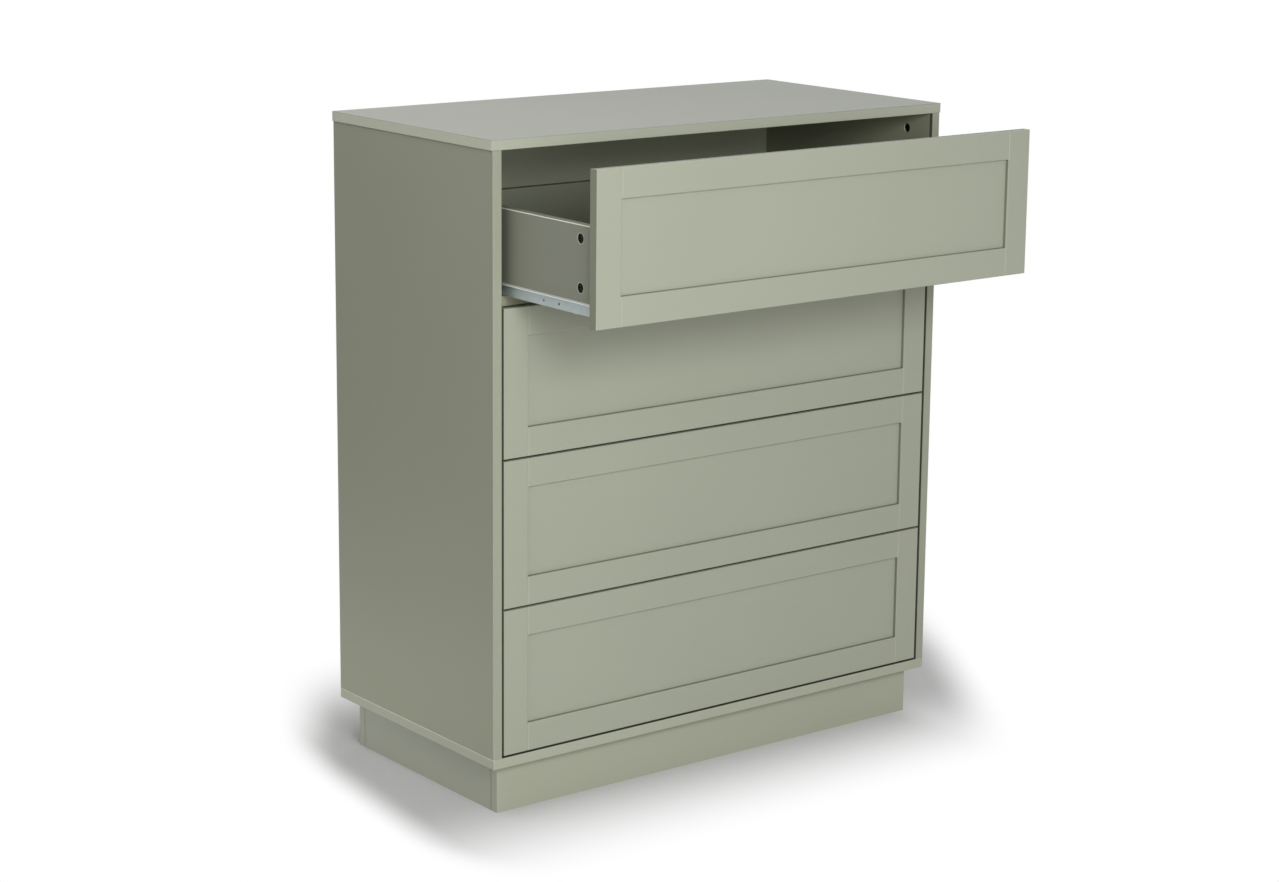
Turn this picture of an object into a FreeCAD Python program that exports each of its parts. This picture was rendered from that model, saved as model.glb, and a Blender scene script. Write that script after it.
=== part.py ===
import FreeCAD, Part
import os
from types import SimpleNamespace

# Chest of drawers on a plinth. Millimetres; +X to the right, +Y to the back, +Z up.
# The origin is on the floor, under the middle of the carcass.
# Drawer 1 is the top one; it stands open by open_distance.

DRAWERS = 4
LEFT, RIGHT = -1, 1

DIMENSIONS = [
    ("top_width", 900, "top panel, left to right"),
    ("carcass_depth", 445, "carcass, front to back"),
    ("chest_height", 1052, "floor to the top face"),
    ("carcass_board", 16, "board of top, sides and bottom"),
    ("top_overhang", 2, "top panel beyond each side panel"),
    ("edge_round", 1, "rounding of board edges"),
    ("plinth_height", 80, "floor to the bottom panel"),
    ("plinth_board", 16, "board of the plinth"),
    ("plinth_side_inset", 21, "plinth behind the outer face of a side panel"),
    ("plinth_front_inset", 22, "plinth behind the front edge"),
    ("plinth_back_inset", 25, "plinth before the rear edge"),
    ("back_thickness", 3, "back panel"),
    ("back_inset", 19, "rear edge to the rear face of the back panel"),
    ("groove_depth", 6, "grooves for thin panels"),
    ("panel_clearance", 0.1, "thin panel in its groove, each side"),
    ("fit_clearance", 0.1, "fastener in its bore, on the radius"),
    ("overrun", 1, "cuts run past the face they start from"),
    ("cam_radius", 7.5, "cam lock"),
    ("cam_cover", 4, "wood left under a cam lock"),
    ("cam_sink", 2.5, "cam lock below the face of its board"),
    ("cam_cross_length", 9, "cross recess of a cam lock"),
    ("cam_cross_width", 1.8, "cross recess of a cam lock"),
    ("cam_cross_depth", 1.5, "cross recess of a cam lock"),
    ("bolt_radius", 3.5, "cam bolt, plain part"),
    ("thread_radius", 2.5, "cam bolt, threaded part"),
    ("carcass_thread", 10, "cam bolt thread in the top and bottom panel"),
    ("carcass_cam_drop", 30, "cam lock from the end of a side panel"),
    ("carcass_cam_setback", 61, "cam lock from the front or rear edge"),
    ("dowel_radius", 4, "dowel"),
    ("dowel_deep", 20, "dowel in the end of a board"),
    ("dowel_shallow", 10, "dowel in the face of a board"),
    ("dowel_offset", 32, "dowel beside its cam lock"),
    ("divider_depth", 64, "divider rail under a drawer, front to back"),
    ("divider_setback", 2, "divider rail behind the closed fronts"),
    ("divider_clearance", 1, "divider rail under the screw heads of the drawer runners"),
    ("front_gap", 3.2, "gap above and below a drawer front"),
    ("front_side_gap", 3.5, "gap beside a drawer front"),
    ("front_board", 10, "back board of a drawer front"),
    ("strip_board", 6, "applied strips of a drawer front"),
    ("strip_width", 45, "applied strips of a drawer front"),
    ("strip_round", 1.5, "front edges of the strips"),
    ("open_distance", 229, "top drawer, pulled out"),
    ("box_board", 16, "sides and back of a drawer box"),
    ("box_clearance", 7, "closed drawer box to the back panel"),
    ("side_height", 130, "drawer side"),
    ("side_lift", 16, "drawer side above the lower edge of the front"),
    ("bottom_thickness", 3, "drawer bottom"),
    ("bottom_lift", 10, "drawer bottom above the lower edge of the side"),
    ("drawer_cam_setback", 34, "cam lock behind the drawer front"),
    ("upper_cam_drop", 20, "upper cam lock below the top of the drawer side"),
    ("lower_cam_lift", 38, "lower cam lock above the bottom of the drawer side"),
    ("drawer_thread", 7, "cam bolt thread in the drawer front"),
    ("joint_screw_radius", 2.5, "screw from the drawer side into the drawer back"),
    ("joint_screw_length", 50, "screw from the drawer side into the drawer back"),
    ("joint_head_radius", 5, "head of that screw"),
    ("joint_head_depth", 3.5, "head of that screw"),
    ("joint_screw_margin", 28, "that screw from the edge of the drawer back"),
    ("nail_radius", 0.9, "nail of the drawer bottom"),
    ("nail_length", 22, "nail of the drawer bottom"),
    ("nail_head_radius", 2.2, "nail of the drawer bottom"),
    ("nail_head_depth", 0.8, "nail of the drawer bottom"),
    ("runner_gap", 12.5, "drawer side to carcass side"),
    ("runner_steel", 1, "sheet of the runners"),
    ("runner_leg", 14, "runner leg under the drawer side"),
    ("runner_bend", 0.8, "outer rounding of the runner bends"),
    ("runner_setback", 3, "cabinet runner behind the closed front"),
    ("flange_clearance", 2.5, "drawer runner flange to the cabinet runner web"),
    ("track_clearance", 0.8, "cabinet runner track to the drawer runner web"),
    ("guide_flange", 8, "upper flange of the cabinet runner"),
    ("guide_clearance", 1, "drawer runner under that flange"),
    ("roller_radius", 7.5, "runner roller"),
    ("roller_round", 0.8, "rim of a roller"),
    ("roller_dish", 0.8, "dish in the face of a roller"),
    ("roller_dish_margin", 2, "rim round that dish"),
    ("roller_play", 0.4, "roller beside its neighbours"),
    ("roller_headroom", 1.7, "rear roller under the flange"),
    ("running_clearance", 0.3, "roller to its track"),
    ("axle_radius", 2.5, "roller axle"),
    ("axle_clearance", 0.05, "roller on its axle, on the radius"),
    ("axle_head_radius", 4, "riveted end of an axle"),
    ("axle_head", 0.8, "riveted end of an axle"),
    ("front_roller_setback", 25, "front roller behind the end of the cabinet runner"),
    ("rear_roller_setback", 18, "rear roller before the end of the drawer runner"),
    ("runner_hole_radius", 2, "spare holes in the drawer runner"),
    ("runner_hole_start", 84.5, "first spare hole behind the front"),
    ("runner_hole_step", 38, "second spare hole behind the first"),
    ("runner_hole_lift", 7, "spare holes above the lower edge of the side"),
    ("runner_screw_offset", 18, "end screws of a cabinet runner, inwards of the carcass cam locks"),
    ("runner_screw_radius", 2.4, "runner screw"),
    ("runner_screw_length", 11, "runner screw in the wood"),
    ("runner_head_radius", 4, "runner screw head"),
    ("runner_head", 1.2, "runner screw head"),
    ("latch_clearance", 2.5, "latch to the drawer side"),
    ("latch_length", 50, "push latch"),
    ("latch_height", 26, "push latch"),
    ("latch_rise", 75, "push latch above the lower edge of the drawer side"),
    ("latch_reach", 8, "push latch behind the closed front"),
    ("latch_screw_margin", 4.5, "latch screw from the edge of the latch"),
    ("latch_screw_radius", 1.5, "latch screw"),
    ("latch_screw_length", 12, "latch screw in the wood"),
    ("latch_head_radius", 2.8, "latch screw head"),
    ("latch_head", 1.6, "latch screw head"),
    ("latch_head_recess", 2, "sunk place of that head"),
    ("plunger_radius", 3, "latch plunger"),
    ("plunger_length", 36, "latch plunger"),
    ("plunger_travel", 4, "way of the plunger when pressed"),
    ("plunger_tip_radius", 4, "soft tip of the plunger"),
    ("plunger_tip_length", 3, "soft tip of the plunger"),
]

# Two places count as one within this share of the piece's diagonal.
MATCH_SHARE = 1e-6

# Places along a length, as shares of it.
LEG_SCREW_SHARES = (0.12, 0.55, 0.88)
NAIL_SHARES = (-0.7, 0, 0.7)
LATCH_SCREW_SHARES = (0.2, 0.8)
PLINTH_DOWEL_SHARES = (-0.8, 0.3, 0.8)
DIVIDER_DOWEL_SHARES = (0.25, 0.75)
RAIL_DOWEL_SHARES = (0.25, 0.6)

# Cross recess of a screw head, as shares of its radius and its height.
CROSS_ARM_SHARE = 0.5
CROSS_BLADE_SHARE = 0.125
CROSS_DEPTH_SHARE = 0.5

X_AXIS = FreeCAD.Vector(1, 0, 0)
Y_AXIS = FreeCAD.Vector(0, 1, 0)
Z_AXIS = FreeCAD.Vector(0, 0, 1)


class Length:
    """A length as a spreadsheet expression; arithmetic on it writes the longer expression."""

    def __init__(self, text):
        self.text = text

    def __str__(self):
        return self.text

    def __add__(self, other):
        return Length(f"({self} + {other})")

    def __sub__(self, other):
        return Length(f"({self} - {other})")

    def __mul__(self, share):
        return Length(f"({self} * {share})")

    __rmul__ = __mul__

    def __truediv__(self, share):
        return Length(f"({self} / {share})")

    def __neg__(self):
        return Length(f"(-{self})")


doc = FreeCAD.newDocument("drawer_chest")
sheet = doc.addObject("Spreadsheet::Sheet", "dims")
for row, (alias, value, meaning) in enumerate(DIMENSIONS, start=1):
    sheet.set(f"A{row}", meaning)
    sheet.set(f"B{row}", str(value))
    sheet.setAlias(f"B{row}", alias)
doc.recompute()
d = SimpleNamespace(**{alias: Length(f"dims.{alias}") for alias, value, meaning in DIMENSIONS})
ZERO = Length("0")

nodes = {}


def new_body(label):
    """An empty body, not yet a node."""
    body = doc.addObject("PartDesign::Body", label)
    body.Label = label
    return body


def bind_place(item, place):
    """Tie an object's place to three lengths."""
    for axis, length in zip("xyz", place):
        item.setExpression(f"Placement.Base.{axis}", str(length))


def block(body, name, x_span, y_span, z_span, cut=False):
    """A box feature between the start and end given for each axis."""
    kind = "Subtractive" if cut else "Additive"
    feature = body.newObject(f"PartDesign::{kind}Box", name)
    for size, (start, end) in zip(("Length", "Width", "Height"), (x_span, y_span, z_span)):
        feature.setExpression(size, str(end - start))
    bind_place(feature, (x_span[0], y_span[0], z_span[0]))
    return feature


def rod(body, name, radius, start, direction, length, cut=False):
    """A round feature that runs from its start along a direction."""
    kind = "Subtractive" if cut else "Additive"
    feature = body.newObject(f"PartDesign::{kind}Cylinder", name)
    feature.Placement = FreeCAD.Placement(FreeCAD.Vector(), FreeCAD.Rotation(Z_AXIS, direction))
    feature.setExpression("Radius", str(radius))
    feature.setExpression("Height", str(length))
    bind_place(feature, start)
    return feature


def round_edges(body, feature, radius, wanted):
    """Round those edges of a feature for which wanted(edge box, whole box) holds."""
    feature.recompute(True)
    shape = feature.Shape
    whole = shape.BoundBox
    names = [f"Edge{i}" for i, edge in enumerate(shape.Edges, 1) if wanted(edge.BoundBox, whole)]
    fillet = body.newObject("PartDesign::Fillet", "rounding")
    fillet.Base = (feature, names)
    fillet.setExpression("Radius", str(radius))
    return fillet


def every_edge(edge, whole):
    return True


def upright(edge, whole):
    return edge.ZLength == max(edge.XLength, edge.YLength, edge.ZLength)


def same(one, other, whole):
    return abs(one - other) < MATCH_SHARE * whole.DiagonalLength


def on_front(edge, whole):
    return same(edge.YMax, whole.YMin, whole)


def on_rear(edge, whole):
    return same(edge.YMin, whole.YMax, whole)


def on_top(edge, whole):
    return same(edge.ZMin, whole.ZMax, whole)


def on_rim(edge, whole):
    return same(edge.XLength, edge.YLength, whole)


def value_of(length):
    """The present value of a length."""
    return float(sheet.evalExpression(str(length)))


def mirrored(side, near, far):
    """The span from near to far on the right, or its mirror image on the left."""
    return (near, far) if side == RIGHT else (-far, -near)


def turned(out, towards):
    """The rotation that takes Z to out and X to towards."""
    return FreeCAD.Rotation(towards, out.cross(towards), out, "ZXY")


def copy_of(master, place, rotation=FreeCAD.Rotation()):
    """One more piece like the master, at a place of its own."""
    piece = doc.addObject("Part::Compound", f"{master.Name}_copy")
    piece.Links = [master]
    piece.Placement = FreeCAD.Placement(FreeCAD.Vector(), rotation)
    bind_place(piece, place)
    return piece


def as_node(item, place=None):
    """Register a body or group as a node, set down at a place."""
    if place is not None:
        bind_place(item, place)
    nodes[item.Label] = item
    return item


def group_node(label, pieces, place=None):
    """Several pieces of one kind as one node."""
    group = doc.addObject("Part::Compound", label)
    group.Label = label
    group.Links = pieces
    return as_node(group, place)


# Main planes of the carcass.
front_y = -d.carcass_depth / 2
back_y = d.carcass_depth / 2
side_out = d.top_width / 2 - d.top_overhang
side_in = side_out - d.carcass_board
side_mid = side_out - d.carcass_board / 2
base_top = d.plinth_height + d.carcass_board
top_under = d.chest_height - d.carcass_board

# Back panel and its groove.
back_rear_y = back_y - d.back_inset
back_groove_y = (back_rear_y - d.back_thickness - d.panel_clearance, back_rear_y + d.panel_clearance)

# Joints of the carcass: a cam lock and a dowel near each end of each side panel.
cam_ys = (front_y + d.carcass_cam_setback, back_y - d.carcass_cam_setback)
dowel_ys = (cam_ys[0] + d.dowel_offset, cam_ys[1] - d.dowel_offset)
carcass_cam_height = d.carcass_board - d.cam_cover
drawer_cam_height = d.box_board - d.cam_cover

# Drawer fronts and boxes, in a drawer's own frame: y = 0 is the face of the front,
# z = 0 its lower edge.
front_height = (top_under - base_top - d.front_gap * (DRAWERS + 1)) / DRAWERS
front_half = side_in - d.front_side_gap
front_rear = d.strip_board + d.front_board
box_out = side_in - d.runner_gap
box_in = box_out - d.box_board
box_mid = box_out - d.box_board / 2
box_rear = back_rear_y - d.back_thickness - d.box_clearance - front_y
side_length = box_rear - front_rear
side_top = d.side_lift + d.side_height
bottom_z = d.side_lift + d.bottom_lift
box_back_z = bottom_z + d.bottom_thickness + 2 * d.panel_clearance
bottom_groove_z = (bottom_z, box_back_z)
bottom_groove_half = box_in + d.groove_depth
drawer_cam_zs = (side_top - d.upper_cam_drop, d.side_lift + d.lower_cam_lift)
joint_screw_y = box_rear - d.box_board / 2
joint_screw_zs = (box_back_z + d.joint_screw_margin, side_top - d.joint_screw_margin)

# Runners: the rear roller of the drawer runs on the cabinet track,
# the flange of the drawer runner on the front roller of the cabinet.
track_z = d.side_lift
flange_under = track_z + d.running_clearance + 2 * d.roller_radius + d.roller_headroom
flange_top = flange_under + d.runner_steel
guide_under = flange_top + d.guide_clearance
runner_mid_z = (track_z + guide_under) / 2
rear_roller_z = track_z + d.running_clearance + d.roller_radius
front_roller_z = flange_under - d.running_clearance - d.roller_radius
drawer_web = box_out + d.runner_steel
cabinet_web = side_in - d.runner_steel
roller_room = cabinet_web - drawer_web - d.runner_head - d.axle_head
roller_width = roller_room - 3 * d.roller_play
axle_length = roller_width + 2 * d.roller_play
runner_start = front_rear + d.runner_setback
front_roller_y = runner_start + d.front_roller_setback
rear_roller_y = box_rear - d.rear_roller_setback
runner_screw_ys = [
    d.carcass_cam_setback + d.runner_screw_offset,
    runner_start + side_length / 2,
    d.carcass_depth - d.carcass_cam_setback - d.runner_screw_offset,
]
leg_screw_ys = [front_rear + side_length * share for share in LEG_SCREW_SHARES]
leg_screw_x = (bottom_groove_half + box_out) / 2

# Divider rails: one under each drawer but the lowest, just below its runners.
divider_start = front_rear + d.divider_setback
divider_top = track_z - d.runner_steel - d.runner_head - d.divider_clearance
divider_mid_z = divider_top - d.carcass_board / 2
divider_dowel_ys = [divider_start + d.divider_depth * share for share in DIVIDER_DOWEL_SHARES]

# Push latches, on the right side panel.
latch_in = box_out + d.latch_clearance
latch_mid_x = (latch_in + side_in) / 2
latch_start = front_rear + d.latch_reach
latch_z = d.side_lift + d.latch_rise
plunger_start = front_rear + d.running_clearance
plunger_end = plunger_start + d.plunger_length
latch_screw_places = [
    (latch_start + d.latch_length * share, latch_z + (d.latch_height / 2 - d.latch_screw_margin) * up)
    for share in LATCH_SCREW_SHARES
    for up in (-1, 1)
]


def drawer_base(number):
    """Height of the lower edge of a front."""
    return base_top + d.front_gap + (front_height + d.front_gap) * (DRAWERS - number)


def closed_place(number):
    return (ZERO, front_y, drawer_base(number))


def drawer_place(number):
    """Place of a drawer's frame; the top drawer stands open."""
    x, y, z = closed_place(number)
    return (x, y - d.open_distance, z) if number == 1 else (x, y, z)


# Fasteners, each modelled once along Z and copied to its places.

def make_cam(label, height, bolt_depth):
    """Cam lock sunk below the face of its board at z = 0; the bolt enters from +X."""
    body = new_body(label)
    rod(body, "blank", d.cam_radius, (ZERO, ZERO, -height), Z_AXIS, height - d.cam_sink)
    bolt_half = d.bolt_radius + d.fit_clearance
    block(body, "bolt_mouth", (ZERO, d.cam_radius + d.overrun), (-bolt_half, bolt_half),
          (-bolt_depth - bolt_half, bolt_half - bolt_depth), cut=True)
    arm = d.cam_cross_length / 2
    blade = d.cam_cross_width / 2
    recess = (-d.cam_sink - d.cam_cross_depth, d.overrun - d.cam_sink)
    block(body, "cross_long", (-arm, arm), (-blade, blade), recess, cut=True)
    block(body, "cross_wide", (-blade, blade), (-arm, arm), recess, cut=True)
    return body


def make_bolt(label, reach, thread):
    """Cam bolt: thread up from the joint at z = 0, plain part down to the cam lock."""
    body = new_body(label)
    rod(body, "plain", d.bolt_radius, (ZERO, ZERO, -reach), Z_AXIS, reach)
    rod(body, "thread", d.thread_radius, (ZERO, ZERO, -reach), Z_AXIS, reach + thread)
    return body


def make_screw(label, radius, length, head_radius, head):
    """Screw: head above z = 0, shank down."""
    body = new_body(label)
    rod(body, "head", head_radius, (ZERO, ZERO, ZERO), Z_AXIS, head)
    rod(body, "shank", radius, (ZERO, ZERO, -length), Z_AXIS, length + head)
    arm = head_radius * CROSS_ARM_SHARE
    blade = head_radius * CROSS_BLADE_SHARE
    recess = (head * (1 - CROSS_DEPTH_SHARE), head + d.overrun)
    block(body, "cross_long", (-arm, arm), (-blade, blade), recess, cut=True)
    block(body, "cross_wide", (-blade, blade), (-arm, arm), recess, cut=True)
    return body


carcass_cam = make_cam("carcass_cam", carcass_cam_height, d.carcass_board / 2)
drawer_cam = make_cam("drawer_cam", drawer_cam_height, d.box_board / 2)
carcass_bolt = make_bolt("carcass_bolt", d.carcass_cam_drop - d.fit_clearance, d.carcass_thread)
drawer_bolt = make_bolt("drawer_bolt", d.drawer_cam_setback - d.fit_clearance, d.drawer_thread)
runner_screw = make_screw("runner_screw", d.runner_screw_radius, d.runner_screw_length + d.runner_steel,
                          d.runner_head_radius, d.runner_head)
latch_body_depth = side_in - latch_in - d.latch_head_recess
latch_screw = make_screw("latch_screw", d.latch_screw_radius, d.latch_screw_length + latch_body_depth,
                         d.latch_head_radius, d.latch_head)
joint_screw = make_screw("joint_screw", d.joint_screw_radius, d.joint_screw_length,
                         d.joint_head_radius, d.joint_head_depth)
dowel = new_body("dowel")
rod(dowel, "peg", d.dowel_radius, (ZERO, ZERO, -d.dowel_deep), Z_AXIS, d.dowel_deep + d.dowel_shallow)
nail = new_body("nail")
rod(nail, "head", d.nail_head_radius, (ZERO, ZERO, ZERO), Z_AXIS, d.nail_head_depth)
rod(nail, "shank", d.nail_radius, (ZERO, ZERO, -d.nail_length), Z_AXIS, d.nail_length + d.nail_head_depth)


# Carcass boards.

def bore_joints(body, face_z, inward):
    """Bores for cam bolts and dowels in the face of the top or bottom panel."""
    start_z = face_z - d.overrun * inward
    for side in (LEFT, RIGHT):
        for y in cam_ys:
            rod(body, "bolt_bore", d.thread_radius + d.fit_clearance, (side_mid * side, y, start_z),
                Z_AXIS * inward, d.carcass_thread + d.fit_clearance + d.overrun, cut=True)
        for y in dowel_ys:
            rod(body, "dowel_bore", d.dowel_radius + d.fit_clearance, (side_mid * side, y, start_z),
                Z_AXIS * inward, d.dowel_shallow + d.fit_clearance + d.overrun, cut=True)


groove_half = side_in + d.groove_depth

top_panel = new_body("top_panel")
blank = block(top_panel, "blank", (-d.top_width / 2, d.top_width / 2), (front_y, back_y),
              (top_under, d.chest_height))
round_edges(top_panel, blank, d.edge_round, every_edge)
block(top_panel, "back_groove", (-groove_half, groove_half), back_groove_y,
      (top_under - d.overrun, top_under + d.groove_depth), cut=True)
bore_joints(top_panel, top_under, 1)
as_node(top_panel)

# Plinth: front and back boards run through, side boards and a centre rail stand between them.
plinth_half = side_out - d.plinth_side_inset
plinth_front_y = (front_y + d.plinth_front_inset, front_y + d.plinth_front_inset + d.plinth_board)
plinth_back_y = (back_y - d.plinth_back_inset - d.plinth_board, back_y - d.plinth_back_inset)
rail_y = (plinth_front_y[1], plinth_back_y[0])
rail_spans = {
    "plinth_left": (-plinth_half, d.plinth_board - plinth_half),
    "plinth_centre_rail": (-d.plinth_board / 2, d.plinth_board / 2),
    "plinth_right": (plinth_half - d.plinth_board, plinth_half),
}
plinth_dowel_places = [
    (plinth_half * share, (y_span[0] + y_span[1]) / 2)
    for y_span in (plinth_front_y, plinth_back_y)
    for share in PLINTH_DOWEL_SHARES
]
rail_dowel_places = [
    ((x_span[0] + x_span[1]) / 2, d.plinth_height * share)
    for x_span in rail_spans.values()
    for share in RAIL_DOWEL_SHARES
]
dowel_bore_radius = d.dowel_radius + d.fit_clearance
deep_bore = d.dowel_deep + d.fit_clearance + d.overrun
shallow_bore = d.dowel_shallow + d.fit_clearance + d.overrun

bottom_panel = new_body("bottom_panel")
blank = block(bottom_panel, "blank", (-side_out, side_out), (front_y, back_y), (d.plinth_height, base_top))
round_edges(bottom_panel, blank, d.edge_round, every_edge)
block(bottom_panel, "back_groove", (-groove_half, groove_half), back_groove_y,
      (base_top - d.groove_depth, base_top + d.overrun), cut=True)
bore_joints(bottom_panel, base_top, -1)
for x, y in plinth_dowel_places:
    rod(bottom_panel, "plinth_dowel_bore", dowel_bore_radius, (x, y, d.plinth_height - d.overrun),
        Z_AXIS, shallow_bore, cut=True)
as_node(bottom_panel)

for label, side in (("left_side_panel", LEFT), ("right_side_panel", RIGHT)):
    panel = new_body(label)
    into_wood = X_AXIS * side
    face_x = (side_in - d.overrun) * side
    blank = block(panel, "blank", mirrored(side, side_in, side_out), (front_y, back_y), (base_top, top_under))
    round_edges(panel, blank, d.edge_round, upright)
    block(panel, "back_groove", mirrored(side, side_in - d.overrun, groove_half), back_groove_y,
          (base_top - d.overrun, top_under + d.overrun), cut=True)
    for end_z, inward in ((top_under, -1), (base_top, 1)):
        start_z = end_z - d.overrun * inward
        for y in cam_ys:
            cam_z = end_z + d.carcass_cam_drop * inward
            rod(panel, "cam_bore", d.cam_radius + d.fit_clearance, (face_x, y, cam_z), into_wood,
                carcass_cam_height + d.fit_clearance + d.overrun, cut=True)
            rod(panel, "bolt_bore", d.bolt_radius + d.fit_clearance, (side_mid * side, y, start_z),
                Z_AXIS * inward, d.carcass_cam_drop + d.overrun, cut=True)
        for y in dowel_ys:
            rod(panel, "dowel_bore", dowel_bore_radius, (side_mid * side, y, start_z),
                Z_AXIS * inward, deep_bore, cut=True)
    for number in range(1, DRAWERS + 1):
        for y in runner_screw_ys:
            rod(panel, "runner_bore", d.runner_screw_radius + d.fit_clearance,
                (face_x, front_y + y, drawer_base(number) + runner_mid_z), into_wood,
                d.runner_screw_length + d.fit_clearance + d.overrun, cut=True)
        if number < DRAWERS:
            for y in divider_dowel_ys:
                rod(panel, "divider_bore", dowel_bore_radius,
                    (face_x, front_y + y, drawer_base(number) + divider_mid_z), into_wood,
                    shallow_bore, cut=True)
        if side == RIGHT:
            for y, z in latch_screw_places:
                rod(panel, "latch_bore", d.latch_screw_radius + d.fit_clearance,
                    (face_x, front_y + y, drawer_base(number) + z), into_wood,
                    d.latch_screw_length + d.fit_clearance + d.overrun, cut=True)
    as_node(panel)

back_half = groove_half - d.panel_clearance
back_reach = d.groove_depth - d.panel_clearance
back_panel = new_body("back_panel")
block(back_panel, "blank", (-back_half, back_half), (back_rear_y - d.back_thickness, back_rear_y),
      (base_top - back_reach, top_under + back_reach))
as_node(back_panel)

for label, y_span, inner_y, inward in (("plinth_front", plinth_front_y, plinth_front_y[1], -1),
                                       ("plinth_back", plinth_back_y, plinth_back_y[0], 1)):
    plinth = new_body(label)
    blank = block(plinth, "blank", (-plinth_half, plinth_half), y_span, (ZERO, d.plinth_height))
    round_edges(plinth, blank, d.edge_round, upright)
    for share in PLINTH_DOWEL_SHARES:
        rod(plinth, "upper_dowel_bore", dowel_bore_radius,
            (plinth_half * share, (y_span[0] + y_span[1]) / 2, d.plinth_height + d.overrun),
            -Z_AXIS, deep_bore, cut=True)
    for x, z in rail_dowel_places:
        rod(plinth, "rail_dowel_bore", dowel_bore_radius, (x, inner_y - d.overrun * inward, z),
            Y_AXIS * inward, shallow_bore, cut=True)
    as_node(plinth)

for label, x_span in rail_spans.items():
    rail = new_body(label)
    block(rail, "blank", x_span, rail_y, (ZERO, d.plinth_height))
    for share in RAIL_DOWEL_SHARES:
        for end_y, inward in ((rail_y[0], 1), (rail_y[1], -1)):
            rod(rail, "rail_dowel_bore", dowel_bore_radius,
                ((x_span[0] + x_span[1]) / 2, end_y - d.overrun * inward, d.plinth_height * share),
                Y_AXIS * inward, deep_bore, cut=True)
    as_node(rail)

divider_rail = new_body("divider_rail")
blank = block(divider_rail, "blank", (-side_in, side_in), (divider_start, divider_start + d.divider_depth),
              (divider_top - d.carcass_board, divider_top))
round_edges(divider_rail, blank, d.edge_round,
            lambda edge, whole: on_front(edge, whole) and edge.XLength > edge.ZLength)
for side in (LEFT, RIGHT):
    for y in divider_dowel_ys:
        rod(divider_rail, "dowel_bore", dowel_bore_radius, ((side_in + d.overrun) * side, y, divider_mid_z),
            X_AXIS * -side, deep_bore, cut=True)
group_node("divider_rails", [copy_of(divider_rail, closed_place(n)) for n in range(1, DRAWERS)])

# Fasteners of the carcass.
cams = []
dowels = []
for side in (LEFT, RIGHT):
    for end_z, inward in ((top_under, -1), (base_top, 1)):
        for y in cam_ys:
            cam_z = end_z + d.carcass_cam_drop * inward
            cams.append(copy_of(carcass_cam, (side_in * side, y, cam_z),
                                turned(X_AXIS * -side, Z_AXIS * -inward)))
            cams.append(copy_of(carcass_bolt, (side_mid * side, y, end_z), turned(Z_AXIS * -inward, X_AXIS)))
        for y in dowel_ys:
            dowels.append(copy_of(dowel, (side_mid * side, y, end_z), turned(Z_AXIS * -inward, X_AXIS)))
for x, y in plinth_dowel_places:
    dowels.append(copy_of(dowel, (x, y, d.plinth_height)))
for x, z in rail_dowel_places:
    dowels.append(copy_of(dowel, (x, rail_y[0], z), turned(-Y_AXIS, X_AXIS)))
    dowels.append(copy_of(dowel, (x, rail_y[1], z), turned(Y_AXIS, X_AXIS)))
for number in range(1, DRAWERS):
    for side in (LEFT, RIGHT):
        for y in divider_dowel_ys:
            dowels.append(copy_of(dowel, (side_in * side, front_y + y, drawer_base(number) + divider_mid_z),
                                  turned(X_AXIS * side, Z_AXIS)))
group_node("carcass_cam_fittings", cams)
group_node("carcass_dowels", dowels)

screws = []
for number in range(1, DRAWERS + 1):
    for side in (LEFT, RIGHT):
        for y in runner_screw_ys:
            screws.append(copy_of(runner_screw,
                                  (cabinet_web * side, front_y + y, drawer_base(number) + runner_mid_z),
                                  turned(X_AXIS * -side, Z_AXIS)))
    for y, z in latch_screw_places:
        screws.append(copy_of(latch_screw,
                              (latch_in + d.latch_head_recess, front_y + y, drawer_base(number) + z),
                              turned(-X_AXIS, Z_AXIS)))
group_node("carcass_screws", screws)


# Runners and rollers, in a drawer's own frame.

def make_cabinet_runner(side):
    """Cabinet half: a channel with a track below and a guide above, and the front axle."""
    runner = new_body(f"cabinet_runner_{'left' if side == LEFT else 'right'}")
    y_span = (runner_start, runner_start + side_length)
    block(runner, "web", mirrored(side, cabinet_web, side_in), y_span,
          (track_z - d.runner_steel, guide_under + d.runner_steel))
    block(runner, "track", mirrored(side, drawer_web + d.track_clearance, side_in), y_span,
          (track_z - d.runner_steel, track_z))
    guide = block(runner, "guide", mirrored(side, side_in - d.guide_flange, side_in), y_span,
                  (guide_under, guide_under + d.runner_steel))

    def outer_bend(edge, whole):
        outer_x = whole.XMax if side == RIGHT else whole.XMin
        at_wall = same(edge.XMin, outer_x, whole) and same(edge.XMax, outer_x, whole)
        return at_wall and same(edge.YLength, whole.YLength, whole)

    round_edges(runner, guide, d.runner_bend, outer_bend)
    rod(runner, "axle", d.axle_radius, (cabinet_web * side, front_roller_y, front_roller_z),
        X_AXIS * -side, axle_length + d.axle_head)
    rod(runner, "axle_head", d.axle_head_radius,
        ((cabinet_web - axle_length) * side, front_roller_y, front_roller_z), X_AXIS * -side, d.axle_head)
    for y in runner_screw_ys:
        rod(runner, "screw_hole", d.runner_screw_radius + d.fit_clearance,
            ((cabinet_web - d.overrun) * side, y, runner_mid_z), X_AXIS * side,
            d.runner_steel + 2 * d.overrun, cut=True)
    return runner


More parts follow.
